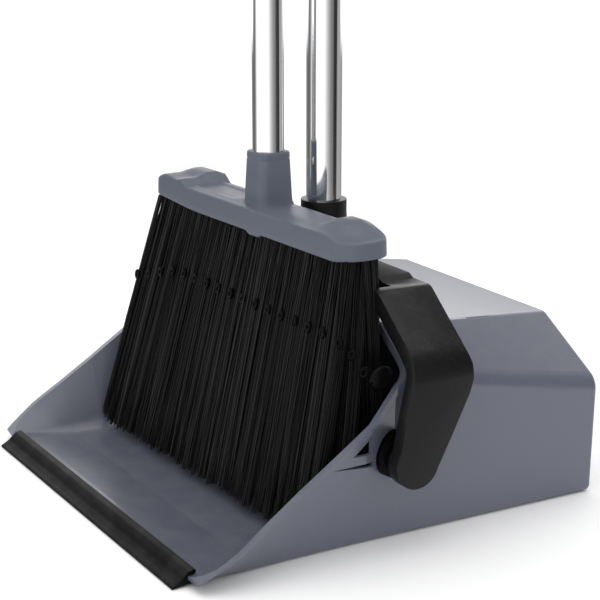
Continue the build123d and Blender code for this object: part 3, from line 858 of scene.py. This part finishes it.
class DUSTPAN_OT_sleeves(bpy.types.Operator):
    """Make the tube joints and the handle grips with their rings"""
    bl_idname = "dustpan.sleeves"
    bl_label = "Joints and grips"

    def execute(self, context):
        rows = [
            ("pan_tube_joint", "pan_joint_sleeve", "handle", PAN_TUBE, PAN_TUBE_R, 0.0),
            ("broom_tube_joint", "broom_joint_sleeve", "broom", BROOM_TUBE, BROOM_TUBE_R, 0.0),
            ("pan_handle_grip", "pan_grip", "handle", PAN_TUBE, PAN_TUBE_R, GRIP_WAIST),
            ("broom_handle_grip", "broom_grip", "broom", BROOM_TUBE, BROOM_TUBE_R, GRIP_WAIST),
        ]
        for node, name, body, centre, inner, waist in rows:
            low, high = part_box(node)
            outer = high.x - BEAD_R * 0.5
            points, faces = turned(
                sleeve_profile(inner, outer, low.z, high.z, waist), SLEEVE_SEGMENTS,
                lambda r, z, cosine, sine: (centre.x + r * cosine, centre.y + r * sine, z))
            slot = "black_plastic" if "joint" in node else "grip_rubber"
            sleeve = mesh_piece(name, points, faces, grip_plastic(), sharp=60)
            place_piece(sleeve, body, slot, node)
            count = JOINT_RINGS if "joint" in node else settings().shapes.grip_rings
            pitch = (high.z - low.z) / (count + 1)
            rings = grown(
                f"{name}_rings", tree_named("ring_stack", ring_stack_tree),
                points=[(centre.x, centre.y, low.z + pitch)], count=count, pitch=pitch,
                ring_radius=outer - BEAD_R * 0.5, bead_radius=BEAD_R, flatten=BEAD_FLATTEN,
                material=grip_plastic())
            place_piece(rings, body, slot)
        return {"FINISHED"}


class DUSTPAN_OT_end_caps(bpy.types.Operator):
    """Round the edges of the end caps"""
    bl_idname = "dustpan.end_caps"
    bl_label = "End caps"

    def execute(self, context):
        for name, body in (("pan", "handle"), ("broom", "broom")):
            node = f"{name}_handle_cap"
            cap = softened(node, f"{name}_end_cap", 1.2 * MM, grip_plastic())
            place_piece(cap, body, "grip_rubber", node)
        return {"FINISHED"}


class DUSTPAN_OT_clip(bpy.types.Operator):
    """Round the edges of the clip that holds the broom's tube"""
    bl_idname = "dustpan.clip"
    bl_label = "Broom clip"

    def execute(self, context):
        clip = softened("broom_clip", "tube_clip", settings().shapes.clip_edge, yoke_plastic())
        place_piece(clip, "handle", "black_plastic", "broom_clip")
        return {"FINISHED"}


SCREW_SEGMENTS = 28
SCREW_PROFILE = [                    # radius and y, in millimetres: the shank, then the head's dome
    (2.0, -4.5), (2.0, 0.0), (3.6, 0.0), (3.6, 0.7), (3.3, 1.3), (2.6, 1.75), (1.5, 1.95), (0.0, 2.0),
]
HEAD_DEPTH = 2.0 * MM
CROSS_ARM, CROSS_WIDTH, CROSS_DEPTH = 1.9 * MM, 0.45 * MM, 1.1 * MM


def screw_head():
    """A pan head with a cross recess, looking along +Y, and its shank."""
    work = bmesh.new()
    rings = []
    angles = [math.tau * k / SCREW_SEGMENTS for k in range(SCREW_SEGMENTS)]
    for radius, y in SCREW_PROFILE:
        rings.append([work.verts.new((
            radius * MM * math.cos(angle), y * MM, radius * MM * math.sin(angle))) for angle in angles])
    for lower, upper in zip(rings, rings[1:]):
        for k in range(SCREW_SEGMENTS):
            after = (k + 1) % SCREW_SEGMENTS
            work.faces.new((lower[k], lower[after], upper[after], upper[k]))
    work.faces.new(rings[0])
    bmesh.ops.remove_doubles(work, verts=work.verts, dist=1e-6)
    bmesh.ops.recalc_face_normals(work, faces=work.faces)
    mesh = bpy.data.meshes.new("screw_head")
    work.to_mesh(mesh)
    work.free()
    screw = bpy.data.objects.new("screw_head", mesh)
    bpy.context.scene.collection.objects.link(screw)
    cross = bmesh.new()
    for wide, tall in ((CROSS_ARM, CROSS_WIDTH), (CROSS_WIDTH, CROSS_ARM)):
        bmesh.ops.create_cube(cross, size=2.0, matrix=Matrix.LocRotScale(
            Vector((0, HEAD_DEPTH, 0)), None, Vector((wide, CROSS_DEPTH, tall))))
    cutter_mesh = bpy.data.meshes.new("cross_cutter")
    cross.to_mesh(cutter_mesh)
    cross.free()
    cutter = bpy.data.objects.new("cross_cutter", cutter_mesh)
    bpy.context.scene.collection.objects.link(cutter)
    cut = screw.modifiers.new("recess", "BOOLEAN")
    cut.operation = "DIFFERENCE"
    cut.solver = "EXACT"
    cut.use_self = True
    cut.object = cutter
    settle(screw)
    bpy.data.objects.remove(cutter)
    smooth(screw, 35)
    return screw


class DUSTPAN_OT_screws(bpy.types.Operator):
    """Make the screws that hold the tubes and the clip"""
    bl_idname = "dustpan.screws"
    bl_label = "Screws"

    def execute(self, context):
        head = screw_head()
        groups = {"handle": ("socket_screw", "clip_screw"), "broom": ("block_screw",)}
        for body, nodes in groups.items():
            spots, turns = [], []
            for number, node in enumerate(nodes):
                low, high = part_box(node)
                spots.append(((low.x + high.x) / 2, high.y - HEAD_DEPTH, (low.z + high.z) / 2))
                turns.append((0.0, 0.35 + 0.9 * number, 0.0))
            screws = grown(f"{body}_screws", tree_named("fixings", fixings_tree), points=spots,
                           turns=turns, fixing=head, material=screw_steel())
            place_piece(screws, body, "steel", *nodes)
        bpy.data.objects.remove(head)
        return {"FINISHED"}


# ---- the broom -----------------------------------------------------------------------------
HALF_LENGTH = 132.5                  # the block's plan, in millimetres
HALF_DEPTH = 20.0
MIDDLE_U, MIDDLE_V = -1.5, -3.0
END_ROUND = 16.0
BLOCK_BOTTOM = 186.5
PER_SIDE = 56                        # steps along a long side of the outline
PER_CORNER = 9                       # steps round a corner
END_POINTS = 2 * (PER_CORNER + 1)    # points round one end
FAR_START = END_POINTS + PER_SIDE - 1
FOOT_ROUND = 1.2                     # rounding of the lower edge
FOOT_REACH = 1.6                     # how far the lower edge comes out
SWELL = 0.4                          # how far the sides stand out between the two edges


def block_outline(inset):
    """Points round the block's plan, moved in by inset."""
    reach = max(END_ROUND - inset, 0.4)
    half_u, half_v = HALF_LENGTH - inset, HALF_DEPTH - inset
    centre_u, centre_v = half_u - reach, max(half_v - reach, 0.0)
    corners = [(centre_u, -centre_v, -90), (centre_u, centre_v, 0),
               (-centre_u, centre_v, 90), (-centre_u, -centre_v, 180)]
    outline = []
    for number, (u, v, start) in enumerate(corners):
        for step in range(PER_CORNER + 1):
            angle = math.radians(start + 90 * step / PER_CORNER)
            outline.append((u + reach * math.cos(angle), v + reach * math.sin(angle)))
        if number in (1, 3):
            sign = -1 if number == 1 else 1
            end_u, end_v = sign * centre_u, -sign * (centre_v + reach)
            begin_u, begin_v = outline[-1]
            for step in range(1, PER_SIDE):
                t = step / PER_SIDE
                outline.append((begin_u + (end_u - begin_u) * t, begin_v + (end_v - begin_v) * t))
    return [(u + MIDDLE_U, v + MIDDLE_V) for u, v in outline]


def block_top(u, v):
    """Height of the block's upper face, in millimetres."""
    shelf = 203.8 - 2.4 * smoothstep(6, 17, v) - 1.2 * smoothstep(8, 22, -v)
    pocket = (smoothstep(22, 26, -u) * smoothstep(-80, -76, u)
              * smoothstep(-15, -12, v) * smoothstep(-7, -4, -v))
    shelf -= 1.1 * pocket
    ridge = (209.6 if u < 0 else 208.6) - 2.2 * smoothstep(9, 17, v)
    if u < 0:
        front = 207.4 - 1.2 * smoothstep(-112, -96, u) * smoothstep(-84, -96, u)
        hump = front + (ridge - front) * smoothstep(-10, 4, v)
    else:
        front = 203.0 - 3.2 * smoothstep(114, 130, u)
        hump = front + (ridge - front) * smoothstep(-19, 3, v)
    rise = smoothstep(80, 89, abs(u))
    end_height = 202.6 if u < 0 else 199.8
    fall = smoothstep(112, 128, -u) + smoothstep(97, 129, u)
    height = shelf + (hump - shelf) * rise
    return height + (end_height - height) * fall


def block_bottom(u, v):
    """Height of the block's lower edge: its far end rises a little, and the front has a small bump."""
    bump = smoothstep(6, 11, u) * smoothstep(28, 22, u) * smoothstep(8, 18, -v)
    lift = 3.6 * smoothstep(60, 134, -u) + 1.4 * smoothstep(112, 131, u)
    return BLOCK_BOTTOM + lift - 2.2 * bump


def block_mesh():
    """The block below its neck."""
    edge = settings().shapes.block_edge / MM
    rings = []

    def ring(inset, height):
        rings.append([on_broom(u * MM, v * MM, height(u, v) * MM) for u, v in block_outline(inset)])

    for inset in (19.4, 14.0, 8.0, 3.0, FOOT_ROUND):
        ring(inset, block_bottom)
    for step in range(5):
        angle = math.pi / 2 * step / 4
        ring(FOOT_ROUND - FOOT_REACH * math.sin(angle),
             lambda u, v: block_bottom(u, v) + FOOT_ROUND * (1 - math.cos(angle)))
    for share in (0.3, 0.6, 0.85):
        ring(-SWELL + SWELL * share, lambda u, v: (
            block_bottom(u, v) + FOOT_ROUND) * (1 - share) + (block_top(u, v) - edge) * share)
    for step in range(7):
        angle = math.pi / 2 * step / 6
        ring(edge * (1 - math.cos(angle)),
             lambda u, v: block_top(u, v) - edge * (1 - math.sin(angle)))
    for inset in (2.4, 3.4, 4.6, 6.0, 7.4, 8.8, 10.2, 11.6, 13.0, 14.4, 15.8, 17.2, 18.4, 19.4):
        ring(inset, block_top)
    points, faces = loft(rings, closed_ends=False)
    # each end closes with cross quads between its two long sides, so the humps stay smooth
    for first in (0, (len(rings) - 1) * len(rings[0])):
        back = [first + k for k in range(END_POINTS - 1, FAR_START + 1)]
        front = [first, *[first + k for k in range(
            len(rings[0]) - 1, FAR_START + END_POINTS - 2, -1)]]
        for k in range(len(back) - 1):
            faces.append((back[k], back[k + 1], front[k + 1], front[k]))
        for start in (0, FAR_START):
            faces.append(tuple(first + start + k for k in range(END_POINTS)))
    return points, faces


NECK_SECTIONS = [                    # height, half width and corner radius, in millimetres
    (195.0, 15.4, 8.0), (203.0, 15.2, 8.0), (204.4, 14.5, 7.6), (206.8, 14.2, 7.5), (222.0, 13.5, 7.2),
    (234.0, 13.0, 7.1), (234.6, 12.7, 6.9), (235.6, 12.7, 6.9), (236.2, 12.9, 7.0), (239.2, 12.8, 7.0),
    (239.8, 12.5, 6.9), (240.0, 12.1, 6.7),
]
NECK_BORE = (240.0, 226.0)           # top and bottom of the hole for the tube
NECK_STEPS = 12                      # steps round a corner


def neck_mesh():
    """The socket for the broom's tube, with a flared foot and a rounded rim."""
    rings = []
    for z, half, corner in NECK_SECTIONS:
        square = []
        for number, (sign_u, sign_v) in enumerate(((1, -1), (1, 1), (-1, 1), (-1, -1))):
            for step in range(NECK_STEPS + 1):
                angle = math.radians(-90 + 90 * number + 90 * step / NECK_STEPS)
                square.append((sign_u * (half - corner) + corner * math.cos(angle),
                               sign_v * (half - corner) + corner * math.sin(angle)))
        rings.append([on_broom(u * MM, v * MM, z * MM) for u, v in square])
    inner = (BROOM_TUBE_R + 0.05 * MM) / MM
    for z in NECK_BORE:
        circle = []
        for u, v in square:
            angle = math.atan2(v, u)
            circle.append(on_broom(inner * MM * math.cos(angle), inner * MM * math.sin(angle), z * MM))
        rings.append(circle)
    return loft(rings)


class DUSTPAN_OT_block(bpy.types.Operator):
    """Model the broom's block with its humps, shelf and neck"""
    bl_idname = "dustpan.block"
    bl_label = "Broom block"

    def execute(self, context):
        block = mesh_piece("block_body", *block_mesh(), block_plastic(), sharp=60)
        neck = mesh_piece("block_neck", *neck_mesh(), block_plastic(), sharp=40)
        join = block.modifiers.new("join", "BOOLEAN")
        join.operation = "UNION"
        join.solver = "EXACT"
        join.object = neck
        settle(block)
        bpy.data.objects.remove(neck)
        smooth(block, 48)
        place_piece(block, "broom", "block_plastic", "broom_block")
        return {"FINISHED"}


# a row's lengths, in the order of the table below, as the tree names them
ROW_LENGTHS = ("middle_top", "half_top", "middle_tip", "half_tip", "flare", "top_v", "top_depth", "tip_v",
               "tip_depth")
# name, frame node, tufts, then the row's lengths in millimetres
BRISTLE_ROWS = [
    ("front_tufts", "bristles_front", 25, -1.5, 130.0, -4.5, 151.0, 5.0, -15.0, 11.0, -59.0, 12.0),
    ("middle_tufts", "bristles_middle", 24, -2.5, 128.5, -2.0, 146.0, 9.0, -4.5, 10.0, -38.0, 13.0),
    ("rear_tufts", "bristles_rear", 22, 0.0, 120.5, 0.0, 134.0, 6.0, 8.5, 9.0, 2.0, 13.0),
    ("end_tufts", "bristles_middle", 5, 113.0, 15.0, 124.0, 15.0, 2.0, -1.0, 9.0, 2.0, 14.0),
]


def crumple(piece):
    """Give the piece its own copy of its mesh."""
    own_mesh(piece)


class DUSTPAN_OT_bristles(bpy.types.Operator):
    """Grow the rows of bristles"""
    bl_idname = "dustpan.bristles"
    bl_label = "Bristles"

    def execute(self, context):
        given = settings().bristles
        tree = tree_named("tuft_row", tuft_row_tree)
        for number, row in enumerate(BRISTLE_ROWS):
            name, node, tufts, *values = row
            lengths = {label: value * MM for label, value in zip(ROW_LENGTHS, values)}
            piece = grown(
                name, tree, tufts=tufts, strands=given.strands, **lengths,
                root_z=(BLOCK_BOTTOM + 2) * MM, tip_z=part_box(node)[0].z,
                strand_radius=given.radius, bow=given.bow, ragged=given.ragged, turn=BROOM_TURN,
                middle_y=BROOM_TUBE.y, seed=given.seed + 20 * number, material=bristle_plastic())
            place_piece(piece, "broom", "bristle", node)
            crumple(piece)
        refinish("tuft_roots", bristle_plastic())
        refinish("tuft_anchors", screw_steel())
        return {"FINISHED"}


LOOP_COUNT = 16                      # loops along the front, and their places in millimetres
FIRST_LOOP_U, LOOP_PITCH = -135.5, 16.9
END_LOOPS = [(137.7, -32.1, 138.8), (141.5, -24.6, 130.8), (146.0, -18.3, 118.8)]
# the pad: how far it stands off its frame node, and its half sizes, in millimetres
PAD_SHIFT = (11.0, -1.0, 0.6)
PAD_HALF = (3.2, 9.2, 8.4)


def loop_spots():
    """Places and turns of the binding loops: an arch along the front, then round the near end."""
    lean = 48.0 / (BLOCK_BOTTOM - 8.0)
    spots = []
    for k in range(LOOP_COUNT):
        u = FIRST_LOOP_U + LOOP_PITCH * k
        z = 140.6 - 16.0 * smoothstep(60, 150, -u) ** 1.3
        v = -19.6 - lean * (BLOCK_BOTTOM - z)
        spots.append((on_broom(u * MM, v * MM, z * MM), BROOM_TURN))
    for number, (u, v, z) in enumerate(END_LOOPS):
        spots.append((on_broom(u * MM, v * MM, z * MM), BROOM_TURN + math.radians(20 + 20 * number)))
    return spots


class DUSTPAN_OT_loops(bpy.types.Operator):
    """Make the binding loops across the bristles, and the pad at their end"""
    bl_idname = "dustpan.loops"
    bl_label = "Binding loops and pad"

    def execute(self, context):
        radius = settings().shapes.loop_radius
        bpy.ops.mesh.primitive_torus_add(
            major_radius=radius, minor_radius=radius * 0.62, major_segments=16, minor_segments=8,
            rotation=(math.pi / 2, 0, 0))
        ring = context.object
        ring.data.transform(Matrix.Diagonal((1.0, 1.35, 1.0, 1.0)))
        ring.data.transform(ring.matrix_basis)
        ring.matrix_basis = Matrix.Identity(4)
        ring.data.shade_smooth()
        spots = loop_spots()
        loops = grown("binding_loops", tree_named("fixings", fixings_tree),
                      points=[tuple(place) for place, turn in spots],
                      turns=[(0.0, 0.35, turn) for place, turn in spots], fixing=ring,
                      material=hinge_nylon())
        bpy.data.objects.remove(ring)
        place_piece(loops, "broom", "bristle", "bristle_loops")
        crumple(loops)

        low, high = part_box("loop_pad")
        middle = (low + high) / 2
        bpy.ops.mesh.primitive_uv_sphere_add(segments=36, ring_count=20, radius=1.0)
        pad = context.object
        pad.name = pad.data.name = "thread_pad"
        for vertex in pad.data.vertices:
            across = vertex.co.y
            vertex.co.y *= 1.0 + 0.24 * vertex.co.z
            vertex.co.z += 0.16 * across - 0.26 * across * across * (1 if vertex.co.z > 0 else -0.2)
            vertex.co = Vector([
                spot + (value * half + shift) * MM
                for spot, value, half, shift in zip(middle, vertex.co, PAD_HALF, PAD_SHIFT)])
        pad.data.shade_smooth()
        pad.data.materials.append(lip_rubber())
        place_piece(pad, "broom", "black_rubber", "loop_pad")
        crumple(pad)
        return {"FINISHED"}


# ---- the stage -----------------------------------------------------------------------------
# brightness seen in a standing polished tube, by the angle round it from the camera, in degrees
TENT_BANDS = [
    (-180, 0.36), (-140, 0.20), (-118, 0.13), (-104, 0.20), (-93, 0.60), (-84, 1.25), (2, 1.25), (12, 0.95),
    (24, 0.60), (38, 0.36), (52, 0.19), (64, 0.10), (78, 0.03), (87, 0.02), (91, 0.30), (98, 0.42),
    (128, 0.40), (150, 0.30), (180, 0.20),
]
TENT_RADIUS = 0.85
# height, and the share there of a bright patch behind the object
TENT_LEVELS = [(0.002, 0.0), (0.20, 0.0), (0.26, 1.0), (0.47, 1.0), (0.56, 0.0), (1.25, 0.0)]
BRIGHT_BACK = 2.5
BACK_FROM, BACK_FULL = 112, 145      # where the patch begins and is full, in degrees
KEY_PLACE, KEY_TARGET, KEY_SIZE = (0.0, 0.05, 1.9), (0, 0, 0.1), 2.0


def light_tent(azimuth):
    """Soft walls of light and shade round the object, seen only in reflections."""
    rings = []
    bands = range(-180, 180, 3)
    for z, back in TENT_LEVELS:
        ring = []
        for angle in bands:
            turn = azimuth + math.radians(angle)
            ring.append((TENT_RADIUS * math.sin(turn), -TENT_RADIUS * math.cos(turn), z))
        rings.append(ring)
    points, faces = loft(rings, closed_ends=False)
    mesh = bpy.data.meshes.new("light_tent")
    mesh.from_pydata(points, [], faces)
    glow = mesh.attributes.new("glow", "FLOAT", "POINT")
    levels = []
    for angle in bands:
        for (from_angle, low), (to_angle, high) in zip(TENT_BANDS, TENT_BANDS[1:]):
            if from_angle <= angle <= to_angle:
                levels.append(low + (high - low) * (angle - from_angle) / (to_angle - from_angle))
                break
    glow.data.foreach_set("value", [
        level + (BRIGHT_BACK - level) * back * smoothstep(BACK_FROM, BACK_FULL, abs(angle))
        for z, back in TENT_LEVELS for angle, level in zip(bands, levels)])
    tent = bpy.data.objects.new("light_tent", mesh)
    bpy.context.scene.collection.objects.link(tent)
    material = bpy.data.materials.new("tent_light")
    material.use_nodes = True
    tree = material.node_tree
    tree.nodes.clear()
    level = add(tree, "ShaderNodeAttribute", attribute_name="glow").outputs["Fac"]
    shine = add(tree, "ShaderNodeEmission", {"Color": (1, 1, 1, 1), "Strength": level})
    out = add(tree, "ShaderNodeOutputMaterial")
    tree.links.new(shine.outputs[0], out.inputs["Surface"])
    mesh.materials.append(material)
    for kind in ("camera", "diffuse", "transmission", "volume_scatter", "shadow"):
        setattr(tent, f"visible_{kind}", False)


def area_light(name, place, target, size, power):
    """A soft square light that looks at target."""
    lamp = bpy.data.lights.new(name, "AREA")
    lamp.size = size
    lamp.energy = power
    holder = bpy.data.objects.new(name, lamp)
    holder.location = place
    holder.rotation_euler = (Vector(place) - Vector(target)).to_track_quat("Z", "Y").to_euler()
    bpy.context.scene.collection.objects.link(holder)
    return holder


class DUSTPAN_OT_stage(bpy.types.Operator):
    """Set up the floor, the light and the camera"""
    bl_idname = "dustpan.stage"
    bl_label = "Stage"

    def execute(self, context):
        given = settings().stage
        scene = context.scene
        scene.view_settings.view_transform = "Standard"
        bpy.ops.mesh.primitive_circle_add(
            vertices=96, radius=4.0, fill_type="NGON", location=(0, 0, -0.0003))
        floor = context.object
        floor.name = "studio_floor"
        floor.data.materials.append(surface(
            "studio_floor", settings().finishes.floor, 0.75, grain=300, tone_change=0.004))

        world = bpy.data.worlds.new("studio_sky")
        world.use_nodes = True
        scene.world = world
        tree = world.node_tree
        tree.nodes.clear()
        seen = add(tree, "ShaderNodeLightPath").outputs["Is Camera Ray"]
        strength = remap(tree, seen, 0.0, 1.0, given.sky, 1.0)
        sky = add(tree, "ShaderNodeBackground", {"Color": (1, 1, 1, 1), "Strength": strength})
        out = add(tree, "ShaderNodeOutputWorld")
        tree.links.new(sky.outputs[0], out.inputs["Surface"])
        light_tent(given.azimuth)
        area_light("key_above", KEY_PLACE, KEY_TARGET, KEY_SIZE, given.key)

        camera = bpy.data.cameras.new("camera")
        camera.lens = given.lens
        camera.sensor_width = 36.0
        holder = bpy.data.objects.new("camera", camera)
        scene.collection.objects.link(holder)
        back = Vector((
            math.sin(given.azimuth) * math.cos(given.elevation),
            -math.cos(given.azimuth) * math.cos(given.elevation), math.sin(given.elevation)))
        holder.location = given.place
        holder.rotation_euler = back.to_track_quat("Z", "Y").to_euler()
        scene.camera = holder
        return {"FINISHED"}


OPERATORS = [
    DUSTPAN_OT_stage, DUSTPAN_OT_pan_shell, DUSTPAN_OT_rubber_lip, DUSTPAN_OT_hinge, DUSTPAN_OT_yoke,
    DUSTPAN_OT_tubes, DUSTPAN_OT_sleeves, DUSTPAN_OT_end_caps, DUSTPAN_OT_clip, DUSTPAN_OT_screws,
    DUSTPAN_OT_block, DUSTPAN_OT_bristles, DUSTPAN_OT_loops,
]


class DUSTPAN_PT_sidebar(bpy.types.Panel):
    """The set's pieces and settings"""
    bl_idname = "DUSTPAN_PT_sidebar"
    bl_label = "Dustpan and broom"
    bl_space_type = "VIEW_3D"
    bl_region_type = "UI"
    bl_category = "Dustpan"

    def draw(self, context):
        for operator in OPERATORS:
            self.layout.operator(operator.bl_idname)
        for group in (settings().finishes, settings().bristles, settings().shapes, settings().stage):
            box = self.layout.box()
            for key in group.__annotations__:
                box.prop(group, key)


CLASSES = [
    DustpanFinishes, DustpanBristles, DustpanShapes, DustpanStage, DustpanSettings, *OPERATORS,
    DUSTPAN_PT_sidebar,
]


def register():
    """Register the classes and the scene's settings."""
    for item in CLASSES:
        bpy.utils.register_class(item)
    bpy.types.Scene.dustpan = bpy.props.PointerProperty(
        name="Dustpan", description="Settings of the dustpan and broom set", type=DustpanSettings)


def unregister():
    """Undo register."""
    del bpy.types.Scene.dustpan
    for item in reversed(CLASSES):
        bpy.utils.unregister_class(item)


def main():
    """Build every piece around the frame."""
    register()
    for operator in OPERATORS:
        group, name = operator.bl_idname.split(".")
        getattr(getattr(bpy.ops, group), name)()


if __name__ == "__main__":
    main()
